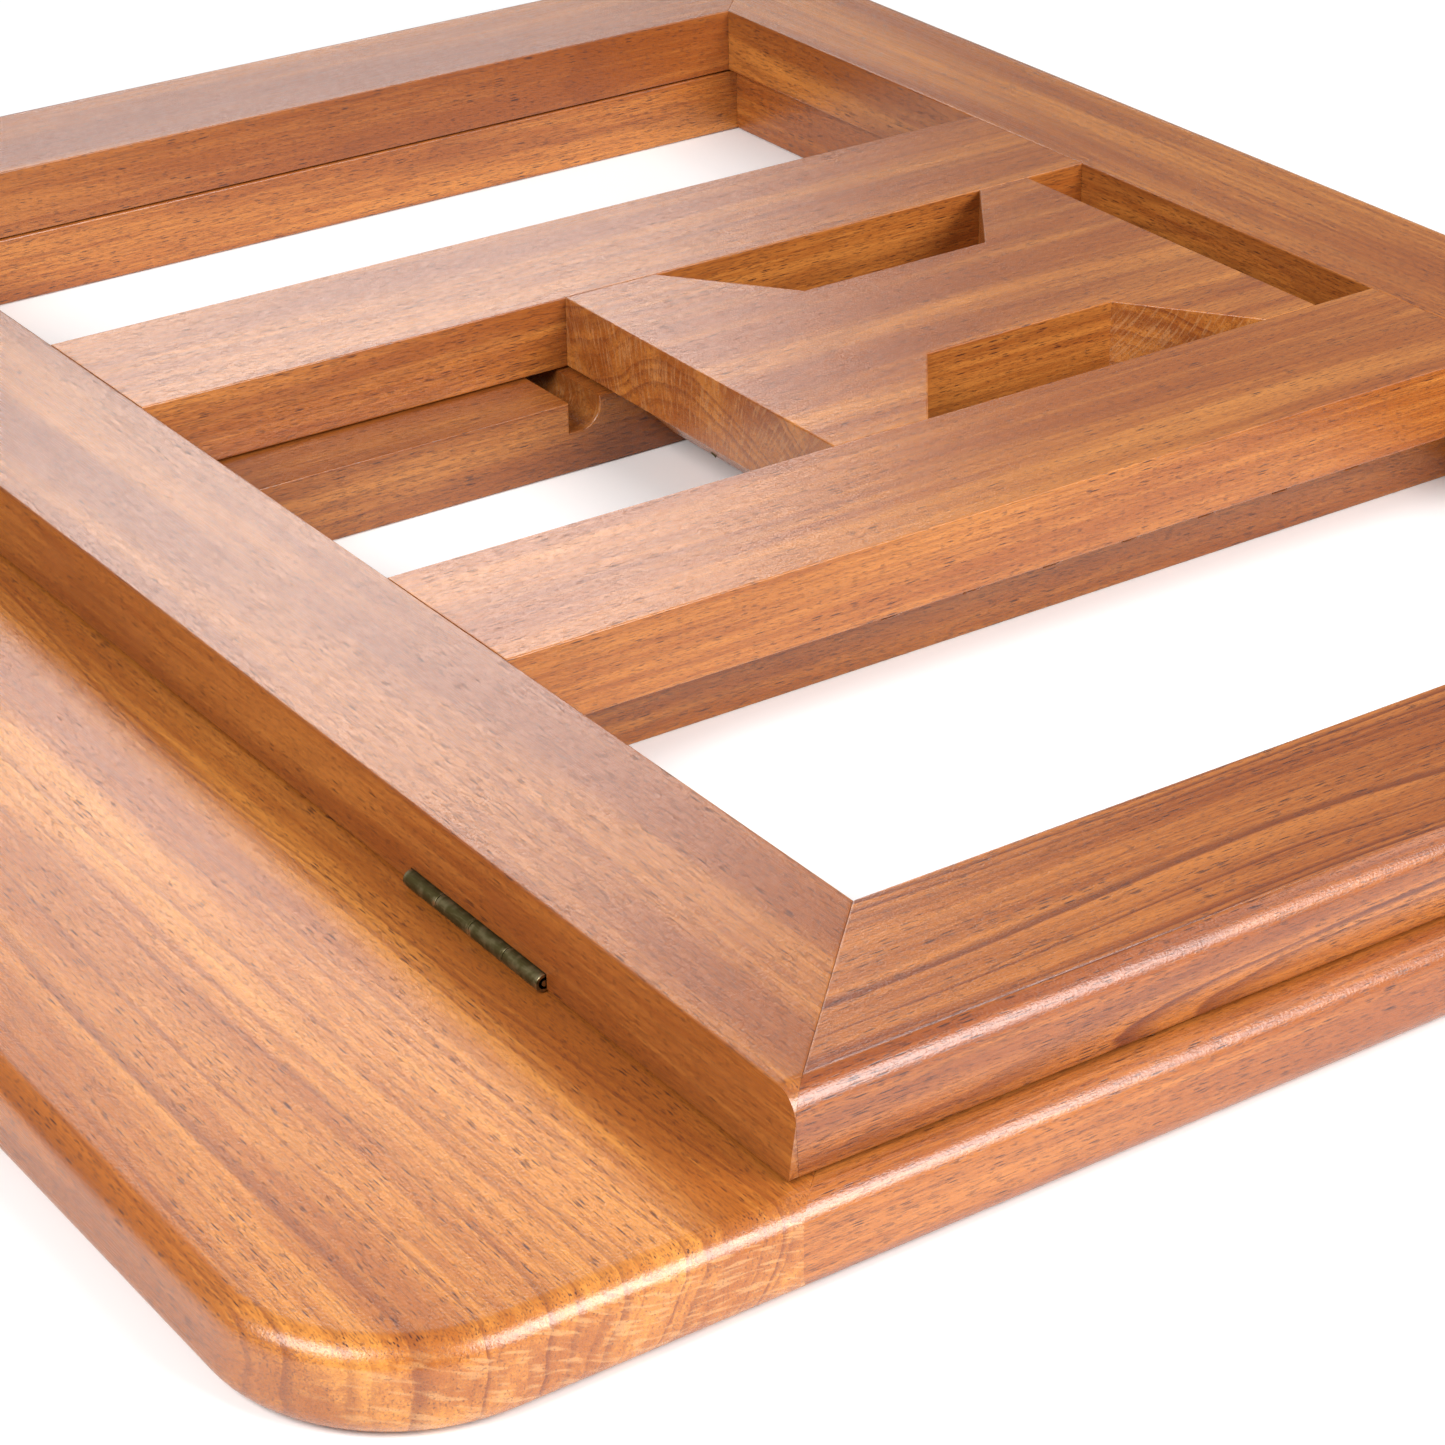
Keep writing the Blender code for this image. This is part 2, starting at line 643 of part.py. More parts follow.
# ---------------------------------------------------------------- loose joinery
def add_dowel(name, place, direction, mates, pivot, radius=DOWEL_RADIUS, length=DOWEL_LENGTH):
    """A hidden dowel, and its bore in each of the pieces that it ties."""
    turn = Vector((0.0, 0.0, 1.0)).rotation_difference(Vector(direction)).to_euler()
    bore_mesh = cylinder_mesh(name + "_bore", radius + FIT_GAP, length + 4 * FIT_GAP)
    bore = as_cutter(add_object(name + "_bore", bore_mesh, CUTTERS))
    dowel = part(name, cylinder_mesh(name, radius, length), pale_beech)
    for made in (bore, dowel):
        made.location = bench(*place)
        made.rotation_euler = turn
    if pivot is not None:
        dowel.parent = pivot
        dowel.matrix_parent_inverse = pivot.matrix_world.inverted()
    for mate in mates:
        boolean(mate, bore)
    return dowel


def add_spline(name, size, place, angle, mates, pivot):
    """A loose tongue glued across a joint, lying flat, turned by an angle in plan."""
    made = {}
    for label, grow in (("piece", 0.0), ("groove", 2 * FIT_GAP)):
        bm = bmesh.new()
        bmesh.ops.create_cube(bm, size=1.0)
        grown = [value + grow for value in size]
        bmesh.ops.transform(bm, matrix=Matrix.Diagonal((*grown, 1.0)), verts=bm.verts)
        made[label] = mesh_from(bm, name)
    groove = as_cutter(add_object(name + "_groove", made["groove"], CUTTERS))
    spline = part(name, made["piece"], pale_beech)
    for obj in (groove, spline):
        obj.location = bench(*place)
        obj.rotation_euler = (0.0, 0.0, angle)
    if pivot is not None:
        spline.parent = pivot
        spline.matrix_parent_inverse = pivot.matrix_world.inverted()
    for mate in mates:
        boolean(mate, groove)


REST_MIDDLE = REST_BOTTOM + REST_SPLINE_HEIGHT
BASE_MIDDLE = BOARD / 2
CORNERS = (
    ("rest_front", REST_FRONT_MITRE, REST_HALF_WIDTH, REST_MIDDLE, bottom_rail, REST_PIVOT),
    ("rest_rear", REST_REAR_MITRE, REST_HALF_WIDTH, REST_MIDDLE, top_rail, REST_PIVOT),
    ("base_front", BASE_FRONT_MITRE, BASE_HALF_WIDTH, BASE_MIDDLE, front_board, None),
    ("base_rear", BASE_REAR_MITRE, BASE_HALF_WIDTH, BASE_MIDDLE, rear_rail, None),
)
for label, mitre, half_width, height, rail, pivot in CORNERS:
    for side, sign in (("left", -1), ("right", 1)):
        if pivot is None:
            upright = left_side if side == "left" else right_side
        else:
            upright = left_stile if side == "left" else right_stile
        mid_x = (OPENING_HALF_WIDTH + half_width) / 2 - SPLINE_SETBACK
        share = (mid_x - OPENING_HALF_WIDTH) / (half_width - OPENING_HALF_WIDTH)
        mid_y = mitre[0] + share * (mitre[1] - mitre[0])
        lie = math.atan2(mitre[1] - mitre[0], sign * (half_width - OPENING_HALF_WIDTH))
        add_spline(
            f"{label}_{side}_spline", SPLINE, (sign * mid_x, mid_y, height),
            lie - math.pi / 2, (rail, upright), pivot,
        )

for side, sign in (("left", -1), ("right", 1)):
    slat_x = sign * (SLAT_INNER + SLAT_OUTER) / 2
    rack_x = sign * (RACK_INNER + RACK_OUTER) / 2
    slat_height = REST_BOTTOM + BOARD / 2
    rest_ends = (("front", BOTTOM_RAIL_REAR, bottom_rail), ("rear", TOP_RAIL_FRONT, top_rail))
    for end, y, rail in rest_ends:
        add_dowel(
            f"{side}_slat_{end}_dowel", (slat_x, y, slat_height), (0, 1, 0),
            (slats[side], rail), REST_PIVOT,
        )
    for end, y, rail in (
        ("front", FRONT_BOARD_REAR, front_board),
        ("rear", BASE_REAR_RAIL_FRONT, rear_rail),
    ):
        add_dowel(
            f"{side}_rack_{end}_dowel", (rack_x, y, BASE_MIDDLE), (0, 1, 0),
            (rack_bars[side], rail), None,
        )

# The foot dowel is held in its saddles by a screw driven up through each leg's tail
for side, sign in (("left", -1), ("right", 1)):
    title = f"{side}_foot_screw"
    head = (sign * (LEG_INNER + STRUT_HALF_WIDTH) / 2, FOOT[0], FOOT[1] - FOOT_SCREW_DROP)
    add_screw(title, head, True, STRUT_PIVOT)
    bore, sink = screw_hole(title, head, True)
    access_mesh = cylinder_mesh(title + "_access", *FOOT_SCREW_ACCESS)
    access = as_cutter(add_object(title + "_access", access_mesh, CUTTERS))
    access.location = bench(head[0], head[1], head[2] - FOOT_SCREW_ACCESS[1] / 2)
    for tool in (access, sink, bore):
        boolean(legs[side], tool)
    boolean(foot, bore)
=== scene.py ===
import json
import math

import bmesh
import bpy
import numpy as np
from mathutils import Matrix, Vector


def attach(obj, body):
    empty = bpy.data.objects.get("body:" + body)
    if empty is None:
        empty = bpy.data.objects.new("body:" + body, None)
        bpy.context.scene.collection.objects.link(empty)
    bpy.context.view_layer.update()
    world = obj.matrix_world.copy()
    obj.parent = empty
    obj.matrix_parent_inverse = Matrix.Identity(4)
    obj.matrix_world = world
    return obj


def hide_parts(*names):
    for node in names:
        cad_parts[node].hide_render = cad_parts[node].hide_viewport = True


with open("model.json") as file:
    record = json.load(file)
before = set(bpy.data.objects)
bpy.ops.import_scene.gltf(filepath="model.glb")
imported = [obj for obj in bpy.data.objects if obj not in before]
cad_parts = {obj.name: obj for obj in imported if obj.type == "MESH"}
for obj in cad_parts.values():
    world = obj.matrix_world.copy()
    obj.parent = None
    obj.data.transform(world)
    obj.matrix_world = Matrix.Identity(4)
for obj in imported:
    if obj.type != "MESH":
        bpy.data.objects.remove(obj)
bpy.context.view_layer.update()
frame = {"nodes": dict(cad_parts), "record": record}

# ---------------------------------------------------------------- camera
# A long lens close above the right-hand front corner, looking back along the hinge line.
camera_data = bpy.data.cameras.new("camera")
camera_data.lens = 98.65
camera_data.sensor_width = 36.0
camera_data.clip_start = 0.01
camera = bpy.data.objects.new("camera", camera_data)
camera.location = (0.78626, -0.50122, 0.43323)
turn = Vector((0.99194, 0.53539, 0.86096))
camera.rotation_mode = "AXIS_ANGLE"
camera.rotation_axis_angle = (turn.length, *turn.normalized())
bpy.context.scene.collection.objects.link(camera)
bpy.context.scene.camera = camera

# ---------------------------------------------------------------- front board
# One wide board whose front is the ledge that carries the album. Solid beech with the grain
# along its length, front corners sawn round, its outer edges routed above and below, and its
# rear corners mitred to the side rails.
MM = 0.001
BENCH_Y = -0.153
BASE_HALF = 0.3000
OPENING_HALF = 0.2431
BASE_TOP = 0.0200
LEDGE_FRONT = -0.1040
BOARD_SHOULDER, BOARD_REAR = -0.0024, 0.0545
CORNER_RADIUS = 0.0410
ROUTED = (6.0 * MM, 6.0 * MM, 0.0)
EASED = (0.7 * MM, 0.7 * MM, 0.0)
MITRED = (0.12 * MM, 0.12 * MM, 0.0)
DEPTHS = np.array([0.0, 0.012, 0.03, 0.07, 0.14, 0.25, 0.42, 0.7, 1.1, 1.7, 2.5, 3.6, 4.8, 6.0])
DEPTHS *= MM
FLAT_BAND = 0.4 * MM
STEP_HEIGHT = 0.001 * MM
DOUBLED = 0.0001 * MM
CREASE = math.radians(32.0)
PLAN = ((1, 0, 0), (0, 1, 0), (0, 0, 1))
SIDE = ((0, 1, 0), (0, 0, 1), (1, 0, 0))


def edge_inset(edge, height, low, high):
    """How far an edge stands back from the outline at a height. Within r of a face it is a
    quarter round, r - sqrt(r*r - (r - t)*(r - t)) at a depth t, and a leaning edge comes in
    evenly from its upper shoulder down to the lower face."""
    top_radius, bottom_radius, lean = edge
    near_top = np.clip(top_radius - (high - height), 0.0, top_radius)
    near_bottom = np.clip(bottom_radius - (height - low), 0.0, bottom_radius)
    inset = top_radius - np.sqrt(np.maximum(top_radius**2 - near_top**2, 0.0))
    inset += bottom_radius - np.sqrt(np.maximum(bottom_radius**2 - near_bottom**2, 0.0))
    shoulder = high - top_radius
    return inset + lean * np.clip((shoulder - height) / (shoulder - low), 0.0, 1.0)


def inset_outline(outline, insets):
    """Corners of the outline with each side moved in by its own inset: corner j is where the
    moved lines of sides j-1 and j cross, found by Cramer's rule for every level at once."""
    along = np.roll(outline, -1, axis=0) - outline
    along /= np.linalg.norm(along, axis=1)[:, None]
    normal = np.stack([-along[:, 1], along[:, 0]], axis=1)
    reach = np.sum(normal * outline, axis=1)[None, :] + insets
    before, before_reach = np.roll(normal, 1, axis=0), np.roll(reach, 1, axis=1)
    cross = before[:, 0] * normal[:, 1] - before[:, 1] * normal[:, 0]
    u = (before_reach * normal[:, 1] - reach * before[:, 1]) / cross
    v = (before[:, 0] * reach - normal[:, 0] * before_reach) / cross
    return np.stack([u, v], axis=2)


def pocketed(rings, levels, side, spans, depth, roof):
    """Rings with pockets let into one straight side from below: four points are put into that
    side for each span, and under the roof the middle two stand back to the pocket's depth."""
    under = (levels < roof)[:, None]
    added = []
    for start, stop in spans:
        front = rings[:, side:side + 1, 1]
        back = np.where(under, depth, front)
        across = np.broadcast_to([start, start, stop, stop], (len(levels), 4))
        inward = np.concatenate([front, back, back, front], axis=1)
        added.append(np.stack([across, inward], axis=2))
    return np.concatenate([rings[:, :side + 1], *added, rings[:, side + 1:]], axis=1)


def board_shape(outline, edges, low, high, axes=PLAN, pockets=None):
    """A flat board: its outline repeated at a series of levels through its thickness, each
    side of each level standing back as edge_inset says, and both faces closed. axes say which
    way the outline's two directions and the thickness run. Points, quads, closing faces."""
    outline = np.asarray(outline, float)
    depths = DEPTHS[DEPTHS < (high - low) / 2]
    levels = np.concatenate([high - depths, (low + depths)[::-1]])
    if pockets:
        roof = pockets[-1]
        levels = np.sort(np.append(levels, [roof, roof - STEP_HEIGHT]))[::-1]
    insets = np.stack([edge_inset(edge, levels, low, high) for edge in edges], axis=1)
    insets = np.concatenate([insets[:1] + FLAT_BAND, insets, insets[-1:] + FLAT_BAND])
    levels = np.concatenate([[high], levels, [low]])
    rings = inset_outline(outline, insets)
    if pockets:
        rings = pocketed(rings, levels, *pockets)
    count, corners = rings.shape[:2]
    heights = np.repeat(levels, corners).reshape(count, corners, 1)
    local = np.concatenate([rings, heights], axis=2)
    points = local.reshape(-1, 3) @ np.array(axes, float)
    points[:, 1] += BENCH_Y
    index = np.arange(count * corners).reshape(count, corners)
    here, there = index, np.roll(index, -1, axis=1)
    walls = np.stack([here[:-1], here[1:], there[1:], there[:-1]], axis=2).reshape(-1, 4)
    return points, walls, [index[0], index[-1][::-1]]


def new_piece(name, shapes):
    """One object from shapes, each of points, quads and closing faces: joined, doubled points
    merged, normals turned outwards, and shaded smooth with sharp arrises."""
    points, faces, start = [], [], 0
    for shape_points, quads, caps in shapes:
        points.append(shape_points)
        faces += (quads + start).tolist() + [(cap + start).tolist() for cap in caps]
        start += len(shape_points)
    mesh = bpy.data.meshes.new(name)
    mesh.from_pydata(np.concatenate(points), [], faces)
    shell = bmesh.new()
    shell.from_mesh(mesh)
    bmesh.ops.remove_doubles(shell, verts=shell.verts, dist=DOUBLED)
    bmesh.ops.recalc_face_normals(shell, faces=shell.faces)
    shell.to_mesh(mesh)
    shell.free()
    mesh.validate()
    mesh.shade_smooth()
    mesh.set_sharp_from_angle(angle=CREASE)
    piece = bpy.data.objects.new(name, mesh)
    bpy.context.scene.collection.objects.link(piece)
    return piece


def board(name, *shape):
    """A piece of one board."""
    return new_piece(name, [board_shape(*shape)])


def arc(centre_u, centre_v, radius, start, stop, steps):
    """Points on an arc at equal angles, both ends included."""
    angle = np.radians(np.linspace(start, stop, steps + 1))
    u, v = centre_u + radius * np.cos(angle), centre_v + radius * np.sin(angle)
    return np.stack([u, v], axis=1)


def node(tree, kind, inputs=None, **settings):
    """A shader node with its settings; an input that is a socket is linked, else it is set."""
    made = tree.nodes.new(kind)
    for key, value in settings.items():
        setattr(made, key, value)
    for key, value in (inputs or {}).items():
        socket = made.inputs[key]
        if isinstance(value, bpy.types.NodeSocket):
            tree.links.new(value, socket)
        else:
            socket.default_value = value
    return made


def maths(tree, operation, *values, clamp=False):
    """A Math node's result."""
    made = node(tree, "ShaderNodeMath", dict(enumerate(values)), operation=operation)
    made.use_clamp = clamp
    return made.outputs[0]


def vector(tree, operation, *values):
    """A Vector Math node's result, its length or its vector."""
    made = node(tree, "ShaderNodeVectorMath", dict(enumerate(values)), operation=operation)
    return made.outputs["Value" if operation == "LENGTH" else "Vector"]


def grain_noise(tree, place, along, across, detail=2.0, roughness=0.5):
    """Noise drawn out along the grain: its size in millimetres along and across the fibres."""
    cells = vector(tree, "MULTIPLY", place, (1 / along, 1 / across, 1 / across))
    made = node(
        tree, "ShaderNodeTexNoise",
        {"Vector": cells, "Scale": 1.0, "Detail": detail, "Roughness": roughness},
    )
    return made


def band(tree, value, low, high, out_low=0.0, out_high=1.0):
    """A smooth step between two values."""
    ends = {"From Min": low, "From Max": high, "To Min": out_low, "To Max": out_high}
    made = node(
        tree, "ShaderNodeMapRange", {"Value": value, **ends}, interpolation_type="SMOOTHSTEP"
    )
    return made.outputs["Result"]


def blend_colour(tree, factor, first, second, kind="MIX"):
    """One colour laid over another."""
    made = node(tree, "ShaderNodeMix", {0: factor}, data_type="RGBA", blend_type=kind)
    for slot_index, value in ((6, first), (7, second)):
        if isinstance(value, bpy.types.NodeSocket):
            tree.links.new(value, made.inputs[slot_index])
        else:
            made.inputs[slot_index].default_value = (*value, 1.0)
    return made.outputs[2]


RING_PITCH, RING_WOBBLE, RING_DRIFT = 3.1, 2.4, 2.6
RING_DRIFT_SPAN = 9.0
PITH_WANDER = 30.0
FLECK_LENGTH, FLECK_WIDTH = 5.5, 0.50
RAYS_PER_RADIAN, RAY_LENGTH = 160.0, 7.0
LACQUER_ROUGHNESS, LACQUER_IOR = 0.23, 1.6
PEEL_PER_MM, PEEL_HEIGHT, PORE_DEPTH = 1.6, 0.055 * MM, 0.016 * MM
STAIN_LIGHT = (0.560, 0.205, 0.040)
STAIN_MID = (0.330, 0.090, 0.015)
STAIN_RING = (0.165, 0.035, 0.010)
STAIN_FLECK = (0.045, 0.010, 0.008)
STAIN_RAY = (0.560, 0.270, 0.110)


def stained_beech(name, grain, pith, seed, tone=1.0, flecks=1.0, figure=0.35, redness=0.0):
    """Cherry-stained beech worked out through the solid, in millimetres with the fibres along
    the first axis. Growth rings are shells about a wandering pith line, each with a darker
    late band. Long streaks of stain, short spindle flecks and fine pores lie along the fibres.
    Where the surface cuts the fibres the rings show as arcs, with fine rays across them.
    pith is where the tree's heart lies, and seed picks the stretch of timber."""
    made = bpy.data.materials.new(name)
    made.use_nodes = True
    tree = made.node_tree
    shader = tree.nodes["Principled BSDF"]
    coordinates = node(tree, "ShaderNodeTexCoord")
    quarter = -math.pi / 2 if grain == "Y" else 0.0
    place = node(
        tree, "ShaderNodeMapping",
        {
            "Vector": coordinates.outputs["Object"],
            "Location": (seed * 137.0, seed * 31.0, seed * 17.0),
            "Rotation": (0.0, 0.0, quarter),
            "Scale": (1000.0, 1000.0, 1000.0),
        },
    ).outputs[0]

    # Rings: distance from a pith line that wanders slowly along the board
    wander = grain_noise(tree, place, 240.0, 70.0, 1.0).outputs["Color"]
    wander = vector(tree, "SUBTRACT", wander, (0.5, 0.5, 0.5))
    wander = vector(tree, "MULTIPLY", wander, (0.0, PITH_WANDER, PITH_WANDER))
    heart = (0.0, seed * 31.0 + pith[0], seed * 17.0 + pith[1])
    spoke = vector(tree, "SUBTRACT", vector(tree, "ADD", place, wander), heart)
    spoke = vector(tree, "MULTIPLY", spoke, (0.0, 1.0, 1.0))
    wobble = grain_noise(tree, place, 60.0, 7.0, 2.0).outputs["Fac"]
    radius = maths(tree, "MULTIPLY_ADD", wobble, RING_WOBBLE, vector(tree, "LENGTH", spoke))
    uneven = node(
        tree, "ShaderNodeTexNoise",
        {"W": maths(tree, "DIVIDE", radius, RING_DRIFT_SPAN), "Scale": 1.0, "Detail": 1.0},
        noise_dimensions="1D",
    ).outputs["Fac"]
    even = maths(tree, "DIVIDE", radius, RING_PITCH)
    phase = maths(tree, "MULTIPLY_ADD", uneven, RING_DRIFT, even)
    late = maths(tree, "FRACT", phase)
    ring_age = node(
        tree, "ShaderNodeTexWhiteNoise", {"W": maths(tree, "FLOOR", phase)},
        noise_dimensions="1D",
    ).outputs["Value"]
    rise = band(tree, late, 0.25, 0.90)
    fall = band(tree, late, 0.90, 1.0, 1.0, 0.0)
    depth = band(tree, ring_age, 0.0, 1.0, 0.15, 1.0)
    ring = maths(tree, "MULTIPLY", maths(tree, "MULTIPLY", rise, fall), depth)

    # Fibres, long streaks and broad bands of stain, spindle flecks and pores
    fibre = grain_noise(tree, place, 14.0, 0.34, 3.0, 0.6).outputs["Fac"]
    streak = grain_noise(tree, place, 110.0, 2.1, 3.0, 0.55).outputs["Fac"]
    bands = grain_noise(tree, place, 230.0, 16.0, 2.0).outputs["Fac"]
    cell = (1 / FLECK_LENGTH, 1 / FLECK_WIDTH, 1 / FLECK_WIDTH)
    cells = vector(tree, "MULTIPLY", place, cell)
    spindle = {"Vector": cells, "Scale": 1.0, "Randomness": 1.0}
    spindle = node(tree, "ShaderNodeTexVoronoi", spindle)
    luck = node(tree, "ShaderNodeSeparateColor", {"Color": spindle.outputs["Color"]}).outputs[0]
    crowd = grain_noise(tree, place, 40.0, 7.0, 2.0).outputs["Fac"]
    luck = maths(tree, "POWER", luck, 1.7 / flecks)
    room = maths(tree, "MULTIPLY", band(tree, crowd, 0.38, 0.62, 0.30, 1.0), luck)
    girth = maths(tree, "MULTIPLY_ADD", room, 0.42, 0.03)
    nearness = maths(tree, "DIVIDE", spindle.outputs["Distance"], girth)
    fleck = maths(tree, "MULTIPLY_ADD", nearness, -2.4, 2.4, clamp=True)
    pore_noise = grain_noise(tree, place, 2.6, 0.24, 1.0).outputs["Fac"]
    pore = band(tree, pore_noise, 0.55, 0.66)
    hair_noise = grain_noise(tree, place, 20.0, 0.50, 2.0, 0.6).outputs["Fac"]
    hair = band(tree, hair_noise, 0.56, 0.72)

    # End grain: how squarely the surface cuts the fibres, and rays that run from the pith
    axes = node(tree, "ShaderNodeSeparateXYZ", {"Vector": coordinates.outputs["Normal"]})
    facing = maths(tree, "ABSOLUTE", axes.outputs[grain])
    end = band(tree, facing, 0.45, 0.90)
    parts = node(tree, "ShaderNodeSeparateXYZ", {"Vector": spoke})
    angle = maths(tree, "ARCTAN2", parts.outputs["Z"], parts.outputs["Y"])
    fan = node(
        tree, "ShaderNodeCombineXYZ",
        {
            "X": maths(tree, "MULTIPLY", angle, RAYS_PER_RADIAN),
            "Y": maths(tree, "DIVIDE", radius, RAY_LENGTH),
        },
    ).outputs[0]
    ray_noise = node(tree, "ShaderNodeTexNoise", {"Vector": fan, "Scale": 1.0, "Detail": 1.0})
    ray_noise = ray_noise.outputs["Fac"]
    rays = maths(tree, "MULTIPLY", band(tree, ray_noise, 0.50, 0.66), end)
    grit_noise = grain_noise(tree, place, 0.5, 0.5, 2.0).outputs["Fac"]
    grit = maths(tree, "MULTIPLY", band(tree, grit_noise, 0.56, 0.68), end)

    # Colour
    spread = maths(tree, "MULTIPLY_ADD", bands, 1.0, maths(tree, "MULTIPLY", streak, 0.50))
    spread = maths(tree, "MULTIPLY_ADD", fibre, 0.60, spread)
    colour = blend_colour(tree, band(tree, spread, 0.76, 1.20), STAIN_LIGHT, STAIN_MID)
    strength = band(tree, end, 0.0, 1.0, figure, 0.75)
    colour = blend_colour(tree, maths(tree, "MULTIPLY", ring, strength), colour, STAIN_RING)
    colour = blend_colour(tree, maths(tree, "MULTIPLY", rays, 0.50), colour, STAIN_RAY)
    faint_hair = maths(tree, "MULTIPLY", hair, 0.32)
    fine = maths(tree, "MAXIMUM", maths(tree, "MULTIPLY", pore, 0.55), faint_hair)
    along = maths(tree, "MAXIMUM", maths(tree, "MULTIPLY", fleck, 0.95), fine)
    along = maths(tree, "MULTIPLY", along, band(tree, end, 0.0, 1.0, 1.0, 0.25))
    marks = maths(tree, "MAXIMUM", along, maths(tree, "MULTIPLY", grit, 0.55))
    colour = blend_colour(tree, marks, colour, STAIN_FLECK)
    tint = (tone, tone * (1.0 - 0.35 * redness), tone * (1.0 - 0.10 * redness))
    colour = blend_colour(tree, 1.0, colour, tint, "MULTIPLY")
    tree.links.new(colour, shader.inputs["Base Color"])

    # Lacquer: semi-gloss, a little duller in the flecks, with orange peel
    gloss = maths(tree, "MULTIPLY_ADD", marks, 0.06, maths(tree, "MULTIPLY", fibre, 0.08))
    tree.links.new(maths(tree, "ADD", gloss, LACQUER_ROUGHNESS), shader.inputs["Roughness"])
    peel = {"Vector": place, "Scale": PEEL_PER_MM, "Detail": 2.0}
    peel = node(tree, "ShaderNodeTexNoise", peel).outputs["Fac"]
    dip = maths(tree, "MAXIMUM", marks, maths(tree, "MULTIPLY", pore, 0.5))
    dip = maths(tree, "MULTIPLY", dip, PORE_DEPTH)
    relief = maths(tree, "SUBTRACT", maths(tree, "MULTIPLY", peel, PEEL_HEIGHT), dip)
    bump = node(tree, "ShaderNodeBump", {"Height": relief, "Strength": 1.0, "Distance": 1.0})
    tree.links.new(bump.outputs[0], shader.inputs["Normal"])
    shader.inputs["IOR"].default_value = LACQUER_IOR
    return made


def timber(piece, body, cad_node, finish):
    """Give a wooden piece its finish, its body, and the CAD node that it stands for."""
    piece.data.materials.append(finish)
    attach(piece, body)
    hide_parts(cad_node)
    return piece


front_outline = np.concatenate([
    arc(BASE_HALF - CORNER_RADIUS, LEDGE_FRONT + CORNER_RADIUS, CORNER_RADIUS, -90, 0, 20),
    [(BASE_HALF, BOARD_SHOULDER), (OPENING_HALF, BOARD_REAR)],
    [(-OPENING_HALF, BOARD_REAR), (-BASE_HALF, BOARD_SHOULDER)],
    arc(CORNER_RADIUS - BASE_HALF, LEDGE_FRONT + CORNER_RADIUS, CORNER_RADIUS, 180, 270, 20),
])
front_edges = [ROUTED] * 21 + [MITRED, EASED, MITRED] + [ROUTED] * 22
front = board("front_board_wood", front_outline, front_edges, 0.0, BASE_TOP)
front_beech = stained_beech(
    "front_board_beech", "X", (-38.0, -26.0), 1.0,
    tone=1.12, flecks=1.5, figure=0.6, redness=-0.2,
)
timber(front, "base", "front_board", front_beech)

# ---------------------------------------------------------------- base frame
# Two side rails and a rear rail of the same section as the front board, mitred and splined,
# and routed with it, so the rounded edge runs round the whole base in one line.
BASE_REAR_INNER, BASE_REAR = 0.3589, 0.4100
REAR_RADIUS = 0.0120
REAR_ARC_X, REAR_ARC_Y = BASE_HALF - REAR_RADIUS, BASE_REAR - REAR_RADIUS
HAIR = 0.05 * MM


def mirrored(outline, edges):
    """The same board on the left: the outline turned over, its sides still in order."""
    flipped = np.asarray(outline, float)[::-1] * (-1.0, 1.0)
    return flipped, edges[-2::-1] + edges[-1:]


rear_half_arc = arc(REAR_ARC_X, REAR_ARC_Y, REAR_RADIUS, 0, 45, 4)
side_outline = np.concatenate([
    [(OPENING_HALF, BOARD_REAR), (BASE_HALF, BOARD_SHOULDER)],
    rear_half_arc,
    [(OPENING_HALF, BASE_REAR_INNER)],
])
side_outline[:, 0] = np.minimum(side_outline[:, 0] + HAIR, BASE_HALF)
side_edges = [MITRED] + [ROUTED] * 5 + [MITRED, EASED]
side_rail = board("right_base_rail", side_outline, side_edges, 0.0, BASE_TOP)
right_base_beech = stained_beech(
    "right_base_beech", "Y", (22.0, 45.0), 2.0, tone=0.85, flecks=1.2, redness=0.2
)
timber(side_rail, "base", "right_side_rail", right_base_beech)
side_rail = board("left_base_rail", *mirrored(side_outline, side_edges), 0.0, BASE_TOP)
left_base_beech = stained_beech("left_base_beech", "Y", (-30.0, 52.0), 3.0)
timber(side_rail, "base", "left_side_rail", left_base_beech)

other_half_arc = arc(REAR_ARC_X, REAR_ARC_Y, REAR_RADIUS, 45, 90, 4)
rear_outline = np.concatenate([
    [(-OPENING_HALF, BASE_REAR_INNER), (OPENING_HALF, BASE_REAR_INNER)],
    other_half_arc,
    other_half_arc[::-1] * (-1.0, 1.0),
])
rear_edges = [EASED, MITRED] + [ROUTED] * 9 + [MITRED]
base_rear = board("base_rear_rail_wood", rear_outline, rear_edges, 0.0, BASE_TOP)
base_rear_beech = stained_beech("base_rear_beech", "X", (35.0, 50.0), 5.0)
timber(base_rear, "base", "base_rear_rail", base_rear_beech)

# ---------------------------------------------------------------- rack bars
# Two bars from front to rear of the base, dowelled into its rails. A row of slots is cut
# across each: an upright front wall, and a floor that curves up into the rear wall.
RACK_INNER, RACK_OUTER = 0.0405, 0.0990
RACK_FRONT, RACK_REAR = BOARD_REAR + HAIR, BASE_REAR_INNER - HAIR
SLOT_FRONT, SLOT_WIDTH, SLOT_DEPTH = 0.1643, 0.0097, 0.0085
SLOT_ROUND, SLOT_PITCH, SLOT_COUNT = 0.0060, 0.0250, 7
SAWN = (0.5 * MM, 0.5 * MM, 0.0)


